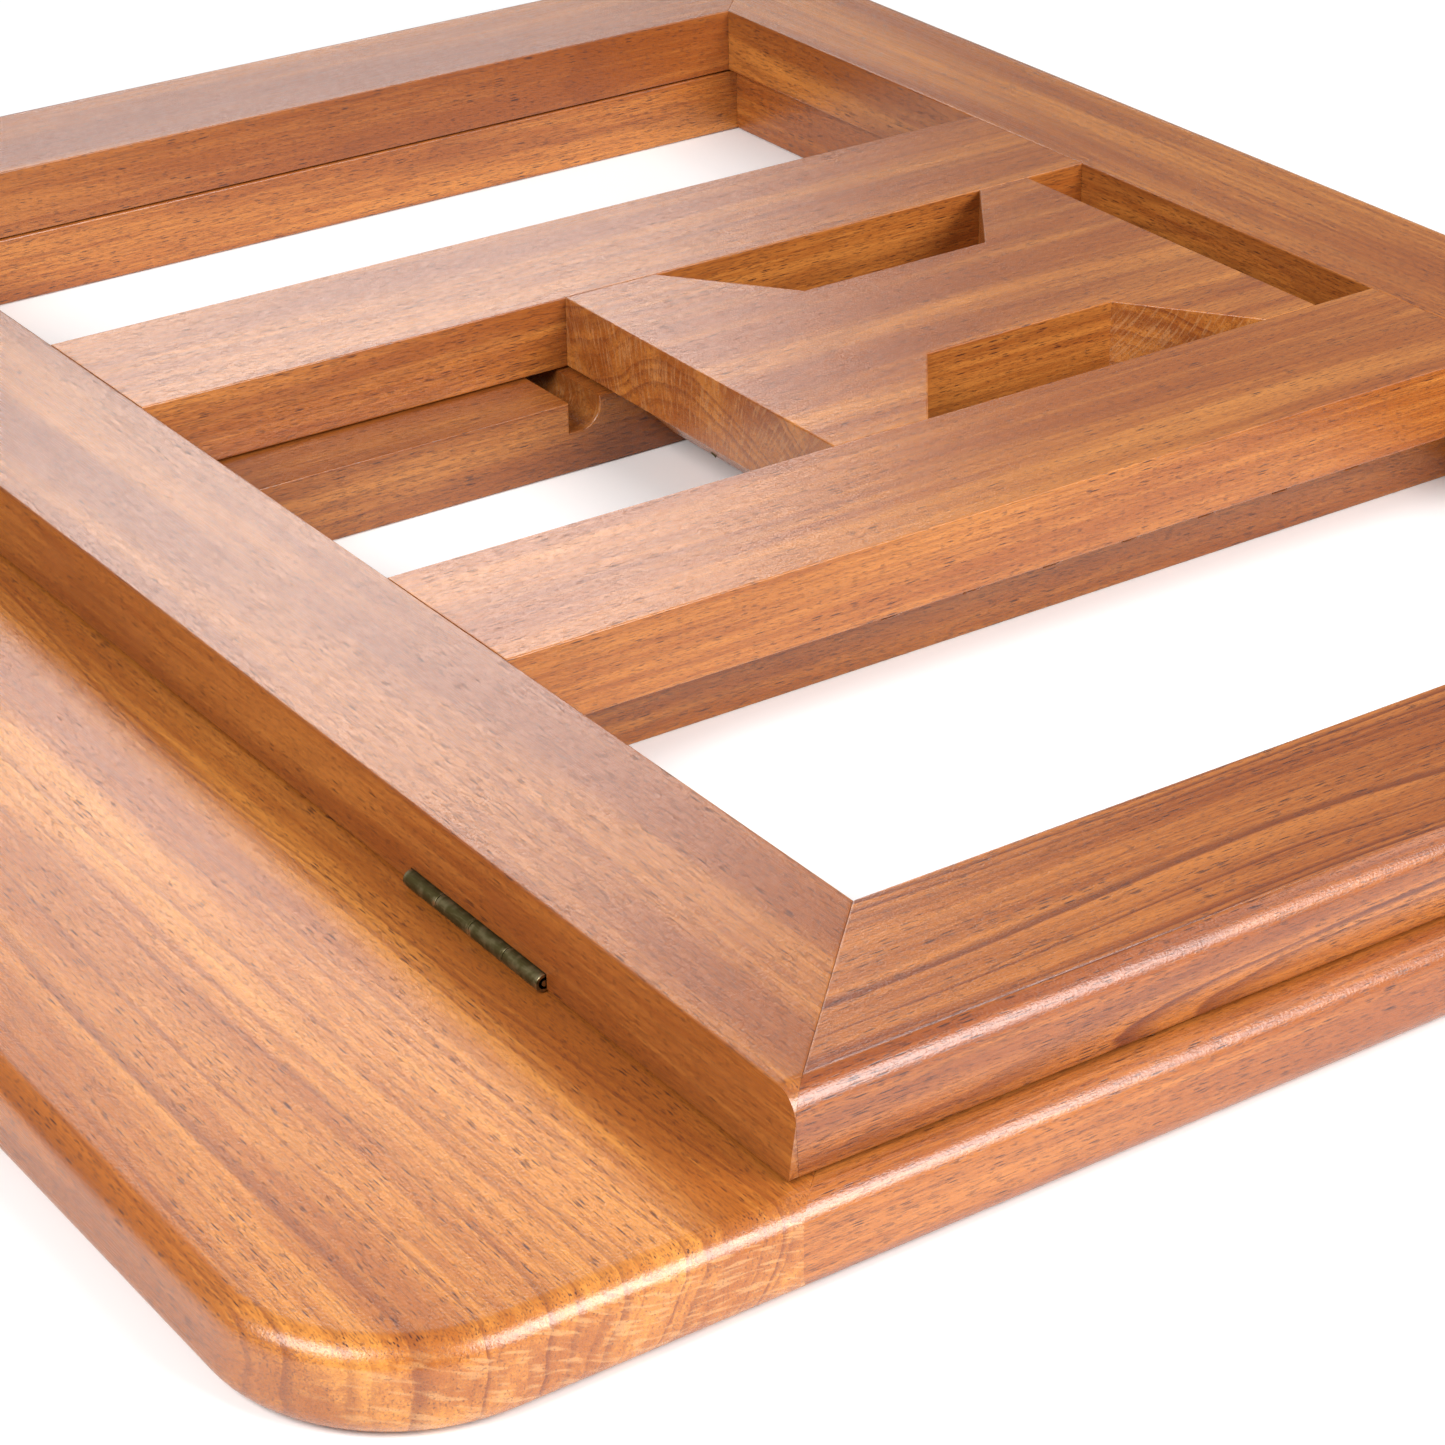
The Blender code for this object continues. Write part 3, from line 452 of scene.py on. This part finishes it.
def rack_outline():
    """The bar seen from the side, with the slots left out of its top edge."""
    corners = [np.array([(RACK_FRONT, 0.0), (RACK_REAR, 0.0), (RACK_REAR, BASE_TOP)])]
    floor = BASE_TOP - SLOT_DEPTH
    for number in reversed(range(SLOT_COUNT)):
        front = SLOT_FRONT + number * SLOT_PITCH
        rear = front + SLOT_WIDTH
        sweep = arc(rear - SLOT_ROUND, floor + SLOT_ROUND, SLOT_ROUND, 0, -90, 8)
        wall = np.array([(front, floor), (front, BASE_TOP)])
        corners += [np.array([(rear, BASE_TOP)]), sweep, wall]
    corners.append(np.array([(RACK_FRONT, BASE_TOP)]))
    return np.concatenate(corners)


bar_outline = rack_outline()
for side, sign, pith in (("left", -1, (18.0, -42.0)), ("right", 1, (-25.0, 48.0))):
    low, high = sorted((sign * RACK_INNER, sign * RACK_OUTER))
    bar = board(side + "_rack", bar_outline, [SAWN] * len(bar_outline), low, high, SIDE)
    finish = stained_beech(side + "_rack_beech", "Y", pith, 6.0 + sign, tone=0.78)
    timber(bar, "base", side + "_rack_bar", finish)

# ---------------------------------------------------------------- back rest frame
# Two rails and two stiles with splined mitres. The outer edge was routed after glueing: a
# quarter round above, leaning in below. The front face is planed flat to stand on the ledge.
REST_HALF = 0.2943
REST_LOW, REST_HIGH = 0.0205, 0.0405
BOTTOM_INNER, TOP_INNER, REST_REAR = 0.0503, 0.3558, 0.4040
BUTTED = (0.15 * MM, 0.15 * MM, 0.0)
REST_ROUTED = (6.0 * MM, 0.8 * MM, 2.5 * MM)
CRISP = (0.35 * MM, 0.5 * MM, 0.0)
TIP = 0.001 * MM

bottom_outline = [
    (-OPENING_HALF, BOTTOM_INNER), (-REST_HALF, TIP), (-REST_HALF, 0.0),
    (REST_HALF, 0.0), (REST_HALF, TIP), (OPENING_HALF, BOTTOM_INNER),
]
bottom_edges = [MITRED, REST_ROUTED, CRISP, REST_ROUTED, MITRED, CRISP]
HINGE_X, HINGE_LENGTH = 0.1824, 0.0523
MORTISE_HALF, MORTISE_DEPTH, MORTISE_ROOF = HINGE_LENGTH / 2 + 0.3 * MM, 16.5 * MM, 24.4 * MM
mortises = [(middle - MORTISE_HALF, middle + MORTISE_HALF) for middle in (-HINGE_X, HINGE_X)]
bottom_rail = board(
    "bottom_rail_wood", bottom_outline, bottom_edges, REST_LOW, REST_HIGH, PLAN,
    (2, mortises, MORTISE_DEPTH, MORTISE_ROOF),
)
bottom_beech = stained_beech(
    "bottom_rail_beech", "X", (20.0, 55.0), 8.0,
    tone=0.82, flecks=0.6, figure=0.15, redness=0.05,
)
timber(bottom_rail, "back_rest", "bottom_rail", bottom_beech)

top_outline = [
    (-OPENING_HALF, TOP_INNER), (OPENING_HALF, TOP_INNER),
    (REST_HALF, REST_REAR), (-REST_HALF, REST_REAR),
]
top_edges = [CRISP, MITRED, REST_ROUTED, MITRED]
top_rail = board("top_rail_wood", top_outline, top_edges, REST_LOW, REST_HIGH)
top_beech = stained_beech("top_rail_beech", "X", (-32.0, 48.0), 9.0)
timber(top_rail, "back_rest", "top_rail", top_beech)

stile_outline = np.array([
    (OPENING_HALF, BOTTOM_INNER), (REST_HALF, 0.0),
    (REST_HALF, REST_REAR), (OPENING_HALF, TOP_INNER),
]) + (HAIR, 0.0)
stile_edges = [MITRED, REST_ROUTED, MITRED, CRISP]
stile = board("right_stile_wood", stile_outline, stile_edges, REST_LOW, REST_HIGH)
right_stile_beech = stained_beech(
    "right_stile_beech", "Y", (34.0, -38.0), 10.0,
    tone=0.80, flecks=3.0, figure=0.9, redness=0.25,
)
timber(stile, "back_rest", "right_stile", right_stile_beech)
stile = board("left_stile_wood", *mirrored(stile_outline, stile_edges), REST_LOW, REST_HIGH)
# The left stile's lower tone (0.85) is painted shade: it darkens the whole stile to stand in for
# the right-hand light falling off towards the left.
left_stile_beech = stained_beech(
    "left_stile_beech", "Y", (-24.0, 50.0), 11.0, tone=0.85, redness=0.2
)
timber(stile, "back_rest", "left_stile", left_stile_beech)

# ---------------------------------------------------------------- slats and centre panel
# Two slats dowelled between the rails, flush with the frame, and a waisted panel glued
# between them, the same thickness. The strut hangs under the panel.
SLAT_INNER, SLAT_OUTER = 0.0615, 0.1137
for side, sign, pith in (("left", -1, (40.0, 40.0)), ("right", 1, (-20.0, -46.0))):
    low, high = sorted((sign * SLAT_INNER, sign * SLAT_OUTER))
    ends = (BOTTOM_INNER + HAIR, TOP_INNER - HAIR)
    outline = [(low, ends[0]), (high, ends[0]), (high, ends[1]), (low, ends[1])]
    edges = [BUTTED, CRISP, BUTTED, CRISP]
    slat = board(side + "_slat_wood", outline, edges, REST_LOW, REST_HIGH)
    finish = stained_beech(side + "_slat_beech", "Y", pith, 12.5 + sign)
    timber(slat, "back_rest", side + "_slat", finish)

PANEL_FRONT, PANEL_REAR = 0.1773, 0.3355
NOTCH_MOUTH, NOTCH_FLOOR, NOTCH_DEPTH = (0.2065, 0.3180), (0.2320, 0.2935), 0.0340
panel_edge, waist = SLAT_INNER - HAIR, SLAT_INNER - NOTCH_DEPTH
right_half = np.array([
    (panel_edge, PANEL_FRONT), (panel_edge, NOTCH_MOUTH[0]), (waist, NOTCH_FLOOR[0]),
    (waist, NOTCH_FLOOR[1]), (panel_edge, NOTCH_MOUTH[1]), (panel_edge, PANEL_REAR),
])
panel_outline = np.concatenate([right_half, right_half[::-1] * (-1.0, 1.0)])
panel_edges = [BUTTED, CRISP, CRISP, CRISP, BUTTED, CRISP] * 2
panel = board("centre_panel_wood", panel_outline, panel_edges, REST_LOW, REST_HIGH)
panel_beech = stained_beech("panel_beech", "Y", (12.0, -60.0), 15.0)
timber(panel, "back_rest", "centre_panel", panel_beech)

# ---------------------------------------------------------------- hinges
# Three small brass butt hinges, each of two leaves rolled into knuckles round a pin. Antique
# finish: olive brown all over, rubbed bright at the knuckles' ends.
BRASS_DARK = (0.100, 0.082, 0.030)
BRASS_WORN = (0.440, 0.370, 0.210)
CLOUDS_PER_MM, SCRATCHES_PER_MM, SCRATCH_DEPTH = 0.32, (0.35, 5.0, 5.0), 0.010 * MM
BARREL, PIN_HOLE, LEAF, INSET = 2.0 * MM, 0.8 * MM, 1.0 * MM, 0.2 * MM
LEAF_START, LEAF_END = 2.1 * MM, 16.5 * MM
KNUCKLE, KNUCKLE_GAP = HINGE_LENGTH / 4, 0.2 * MM
GAP_PHASE = (HINGE_X - HINGE_LENGTH / 2) / MM
HEAD_SINK, HEAD_RADIUS, SHANK_RADIUS = 0.9 * MM, 2.5 * MM, 1.35 * MM
SCREW_X, SCREW_Y = 0.0160, 0.0105
HOLE_SIDES = 40
ROLL_START, ROLL_END = 64.16, 339.0
ROLLED = (0.12 * MM, 0.12 * MM, 0.0)


def antique_brass(name):
    """Brass darkened all over, with cloudy worn patches, fine scratches along it, and the ends
    of the knuckles rubbed bright."""
    made = bpy.data.materials.new(name)
    made.use_nodes = True
    tree = made.node_tree
    shader = tree.nodes["Principled BSDF"]
    coordinates = node(tree, "ShaderNodeTexCoord").outputs["Object"]
    place = vector(tree, "MULTIPLY", coordinates, (1000.0, 1000.0, 1000.0))
    clouds = {"Vector": place, "Scale": CLOUDS_PER_MM, "Detail": 3.0}
    clouds = node(tree, "ShaderNodeTexNoise", clouds).outputs["Fac"]
    drawn = vector(tree, "MULTIPLY", place, SCRATCHES_PER_MM)
    scratches = {"Vector": drawn, "Scale": 1.0, "Detail": 3.0}
    scratches = node(tree, "ShaderNodeTexNoise", scratches).outputs["Fac"]
    parts = node(tree, "ShaderNodeSeparateXYZ", {"Vector": place})
    along = maths(tree, "SUBTRACT", maths(tree, "ABSOLUTE", parts.outputs["X"]), GAP_PHASE)
    gap = maths(tree, "PINGPONG", along, KNUCKLE / MM / 2)
    near_gap = band(tree, gap, 0.3, 1.6, 1.0, 0.0)
    rubbed = maths(tree, "MULTIPLY", near_gap, band(tree, clouds, 0.40, 0.56))
    worn = maths(tree, "MAXIMUM", band(tree, clouds, 0.46, 0.70, 0.0, 0.35), rubbed)
    wear = maths(tree, "MULTIPLY_ADD", band(tree, scratches, 0.52, 0.75), 0.20, worn)
    colour = blend_colour(tree, wear, BRASS_DARK, BRASS_WORN)
    tree.links.new(colour, shader.inputs["Base Color"])
    tree.links.new(band(tree, wear, 0.0, 1.0, 0.60, 0.38), shader.inputs["Roughness"])
    groove = maths(tree, "MULTIPLY", scratches, SCRATCH_DEPTH)
    bump = node(tree, "ShaderNodeBump", {"Height": groove, "Strength": 1.0, "Distance": 1.0})
    tree.links.new(bump.outputs[0], shader.inputs["Normal"])
    shader.inputs["Metallic"].default_value = 1.0
    return made


def drilled_plate(low, high, hole, face, back, seam):
    """Half of a leaf with one countersunk hole: five rings lofted round the hole and closed on
    themselves, the plate's outline behind and in front, the sink's rim, its neck, and the
    bore's far rim. The outline is each ray from the hole carried out to the plate's edge. The
    wall on the seam, where the two halves meet, is left out."""
    low, high, hole = np.array(low), np.array(high), np.array(hole)
    corners = np.array([low, (high[0], low[1]), high, (low[0], high[1])]) - hole
    corner_turns = np.arctan2(*corners.T[::-1]) % (2 * np.pi)
    even_turns = np.linspace(0, 2 * np.pi, HOLE_SIDES, endpoint=False)
    turns = np.unique(np.concatenate([even_turns, corner_turns]))
    ray = np.stack([np.cos(turns), np.sin(turns)], axis=1)
    with np.errstate(divide="ignore"):
        reach = np.abs(np.where(ray > 0, high - hole, low - hole) / ray).min(axis=1)
    edge = hole + ray * reach[:, None]
    sink = face + np.sign(back - face) * HEAD_SINK
    rings = [(edge, back), (edge, face), (hole + ray * HEAD_RADIUS, face)]
    rings += [(hole + ray * SHANK_RADIUS, sink), (hole + ray * SHANK_RADIUS, back)]
    points = np.concatenate([np.column_stack([ring, np.full(len(ring), z)]) for ring, z in rings])
    points[:, 1] += BENCH_Y
    index = np.arange(len(points)).reshape(len(rings), -1)
    around = np.roll(index, -1, axis=1)
    next_around, next_ring = np.roll(around, -1, axis=0), np.roll(index, -1, axis=0)
    quads = np.stack([index, around, next_around, next_ring], axis=2)
    on_seam = np.isclose(edge[:, 0], seam)
    keep = np.ones(index.shape, bool)
    keep[0] = ~(on_seam & np.roll(on_seam, -1))
    return points, quads[keep], []


def rolled_leaf(name, middle, axis, side, body, cad_node, finish):
    """One leaf: its plate in two drilled halves, and two knuckles. A knuckle is a strip that
    leaves the plate, rolls 275 degrees round the pin and is carried along the barrel."""
    y, z = axis
    start = middle - HINGE_LENGTH / 2
    back = z + side * (BARREL - INSET)
    face = back - side * LEAF
    shapes = []
    for reach in (-1, 1):
        ends = sorted((middle, middle + reach * HINGE_LENGTH / 2))
        low, high = (ends[0], y + LEAF_START), (ends[1], y + LEAF_END)
        hole = (middle + reach * SCREW_X, y + SCREW_Y)
        shapes.append(drilled_plate(low, high, hole, face, back, middle))
    outer = arc(0.0, 0.0, BARREL, ROLL_START, ROLL_END, 40)
    inner = arc(0.0, 0.0, PIN_HOLE, ROLL_END, 90.0, 30)
    lip, root = (LEAF_START, BARREL - INSET), (LEAF_START, PIN_HOLE)
    strip = np.concatenate([[lip], outer, inner, [root]])
    strip = strip * (1.0, side) + (y, z)
    strip = strip[::side]
    for number in (0, 2) if side > 0 else (1, 3):
        low = start + number * KNUCKLE + KNUCKLE_GAP / 2
        high = low + KNUCKLE - KNUCKLE_GAP
        shapes.append(board_shape(strip, [ROLLED] * len(strip), low, high, SIDE))
    leaf = new_piece(name, shapes)
    leaf.data.materials.append(finish)
    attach(leaf, body)
    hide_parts(cad_node)


REST_AXIS, STRUT_AXIS = (-0.0003, 0.0222), (0.1840, 0.0185)
brass = antique_brass("antique_brass")
for hinge, middle, axis, lower_body, upper_body in (
    ("left_hinge", -HINGE_X, REST_AXIS, "base", "back_rest"),
    ("right_hinge", HINGE_X, REST_AXIS, "base", "back_rest"),
    ("strut_hinge", 0.0, STRUT_AXIS, "strut", "back_rest"),
):
    for level, side, body in (("lower", -1, lower_body), ("upper", 1, upper_body)):
        brass_name, cad_name = f"{hinge}_{level}_brass", f"{hinge}_{level}_leaf"
        rolled_leaf(brass_name, middle, axis, side, body, cad_name, brass)

# ---------------------------------------------------------------- strut
# A short ladder of beech under the centre panel: a chamfered head bar on the hinge, two legs
# and a rung, with a turned foot dowel screwed into saddles in the legs' tails.
STRUT_LOW, STRUT_HIGH = 0.0045, 0.0164
HEAD_FRONT, HEAD_REAR, HEAD_CHAMFER = 0.1840, 0.2080, 0.0120
LEG_IN, LEG_OUT = 0.0200, 0.0380
RUNG_FRONT, RUNG_REAR = 0.2900, 0.3100
TAIL_FRONT, TAIL_REAR, TAIL_TOP = 0.3366, 0.3490, 0.0255
FOOT_Y, FOOT_Z, FOOT_RADIUS, FOOT_HALF = 0.3430, 0.0260, 0.0040, 0.0590
FILED = (0.9 * MM, 0.9 * MM, 0.0)

head_outline = [
    (HEAD_FRONT + HEAD_CHAMFER, STRUT_LOW), (HEAD_REAR, STRUT_LOW),
    (HEAD_REAR, STRUT_HIGH), (HEAD_FRONT, STRUT_HIGH),
]
head_bar = board("strut_head_wood", head_outline, [FILED] * 4, -LEG_OUT, LEG_OUT, SIDE)
head_beech = stained_beech("strut_head_beech", "X", (25.0, 30.0), 16.0)
timber(head_bar, "strut", "strut_head_bar", head_beech)

saddle = arc(FOOT_Y, FOOT_Z, FOOT_RADIUS + 0.15 * MM, -6.9, -173.1, 14)
leg_outline = np.concatenate([
    [(HEAD_REAR + HAIR, STRUT_LOW), (TAIL_REAR, STRUT_LOW), (TAIL_REAR, TAIL_TOP)],
    saddle,
    [(TAIL_FRONT, TAIL_TOP), (TAIL_FRONT, STRUT_HIGH), (HEAD_REAR + HAIR, STRUT_HIGH)],
])
for side, sign, seed in (("left", -1, 17.0), ("right", 1, 18.0)):
    low, high = sorted((sign * LEG_IN, sign * LEG_OUT))
    leg = board(side + "_leg_wood", leg_outline, [FILED] * len(leg_outline), low, high, SIDE)
    finish = stained_beech(side + "_leg_beech", "Y", (28.0, -35.0), seed)
    timber(leg, "strut", side + "_strut_leg", finish)

rung_end = LEG_IN - HAIR
rung_outline = [
    (-rung_end, RUNG_FRONT), (rung_end, RUNG_FRONT),
    (rung_end, RUNG_REAR), (-rung_end, RUNG_REAR),
]
rung_edges = [FILED, BUTTED, FILED, BUTTED]
rung = board("strut_rung_wood", rung_outline, rung_edges, STRUT_LOW, STRUT_HIGH)
timber(rung, "strut", "strut_rung", stained_beech("strut_rung_beech", "X", (-20.0, 35.0), 19.0))


def turned_bar(name, profile, centre_y, centre_z, sides=64):
    """A profile of radius against X, turned round the X direction: r(x) cos a, r(x) sin a."""
    angle = np.linspace(0, 2 * np.pi, sides, endpoint=False)
    x = np.repeat(profile[:, :1], sides, axis=1)
    y = profile[:, 1:] * np.cos(angle) + centre_y + BENCH_Y
    z = profile[:, 1:] * np.sin(angle) + centre_z
    index = np.arange(x.size).reshape(x.shape)
    around = np.roll(index, -1, axis=1)
    quads = np.stack([index[:-1], index[1:], around[1:], around[:-1]], axis=2).reshape(-1, 4)
    points = np.stack([x, y, z], axis=2).reshape(-1, 3)
    return new_piece(name, [(points, quads, [index[0], index[-1][::-1]])])


FOOT_EASE = 1.2 * MM
sweep = np.linspace(0, math.pi / 2, 7)
foot_end = np.stack([
    FOOT_HALF - FOOT_EASE * (1 - np.sin(sweep)),
    FOOT_RADIUS - FOOT_EASE * (1 - np.cos(sweep)),
], axis=1)
foot_profile = np.concatenate([foot_end[::-1] * (-1.0, 1.0), foot_end])
foot = turned_bar("foot_dowel_wood", foot_profile, FOOT_Y, FOOT_Z)
timber(foot, "strut", "foot_dowel", stained_beech("foot_beech", "X", (9.0, 14.0), 20.0))

# ---------------------------------------------------------------- screws, pins and joinery
# Hinge pins and slotted screws are plain turned brass. Splines and dowels are bare beech,
# glued inside the joints.
bare_beech = stained_beech("bare_beech", "X", (30.0, 40.0), 22.0, tone=1.8, figure=0.2)
for entry in frame["record"]["subparts"]:
    cad = frame["nodes"][entry["node"]]
    if cad.hide_render:
        continue
    cad.data.materials.clear()
    cad.data.materials.append(brass if entry["material_slot"] == "brass" else bare_beech)

# ---------------------------------------------------------------- floor and light
# A plain pale floor under an even sky. Soft boxes in front and on the right light the upright
# faces, and two behind are reflected along the tops.
FLOOR_HALF, FLOOR_DROP, FLOOR_GREY = 6.0, 0.2 * MM, 0.95
SKY_STRENGTH = 0.28
floor_mesh = bpy.data.meshes.new("floor")
corners = np.array([(-1, -1), (1, -1), (1, 1), (-1, 1)]) * FLOOR_HALF
floor_mesh.from_pydata(np.column_stack([corners, np.full(4, -FLOOR_DROP)]), [], [(0, 1, 2, 3)])
floor = bpy.data.objects.new("floor", floor_mesh)
bpy.context.scene.collection.objects.link(floor)
paint = bpy.data.materials.new("pale_floor")
paint.use_nodes = True
paint_shader = paint.node_tree.nodes["Principled BSDF"]
paint_shader.inputs["Base Color"].default_value = (FLOOR_GREY, FLOOR_GREY, FLOOR_GREY, 1.0)
paint_shader.inputs["Roughness"].default_value = 1.0
paint_shader.inputs["Specular IOR Level"].default_value = 0.0
floor.data.materials.append(paint)

world = bpy.data.worlds.new("studio")
bpy.context.scene.world = world
world.use_nodes = True
sky = world.node_tree.nodes["Background"]
sky.inputs["Color"].default_value = (1.0, 1.0, 1.0, 1.0)
sky.inputs["Strength"].default_value = SKY_STRENGTH


def soft_box(name, place, target, width, height, power):
    """A rectangular area light turned towards a point; metres and watts."""
    data = bpy.data.lights.new(name, "AREA")
    data.shape = "RECTANGLE"
    data.size, data.size_y = width, height
    data.energy = power
    light = bpy.data.objects.new(name, data)
    light.location = place
    aim = Vector(target) - Vector(place)
    light.rotation_euler = aim.to_track_quat("-Z", "Y").to_euler()
    bpy.context.scene.collection.objects.link(light)


soft_box("front_box", (0.35, -1.2, 1.05), (0.05, 0.0, 0.0), 1.0, 0.7, 23.0)
soft_box("right_box", (1.3, 0.4, 0.8), (0.1, 0.0, 0.0), 0.8, 0.8, 27.0)
soft_box("back_box", (0.1, 1.5, 1.7), (0.1, 0.0, 0.0), 1.4, 0.5, 7.0)
soft_box("back_left_box", (-1.95, 0.95, 1.12), (0.0, 0.0, 0.0), 0.8, 0.45, 7.5)
bpy.context.scene.view_settings.view_transform = "Standard"
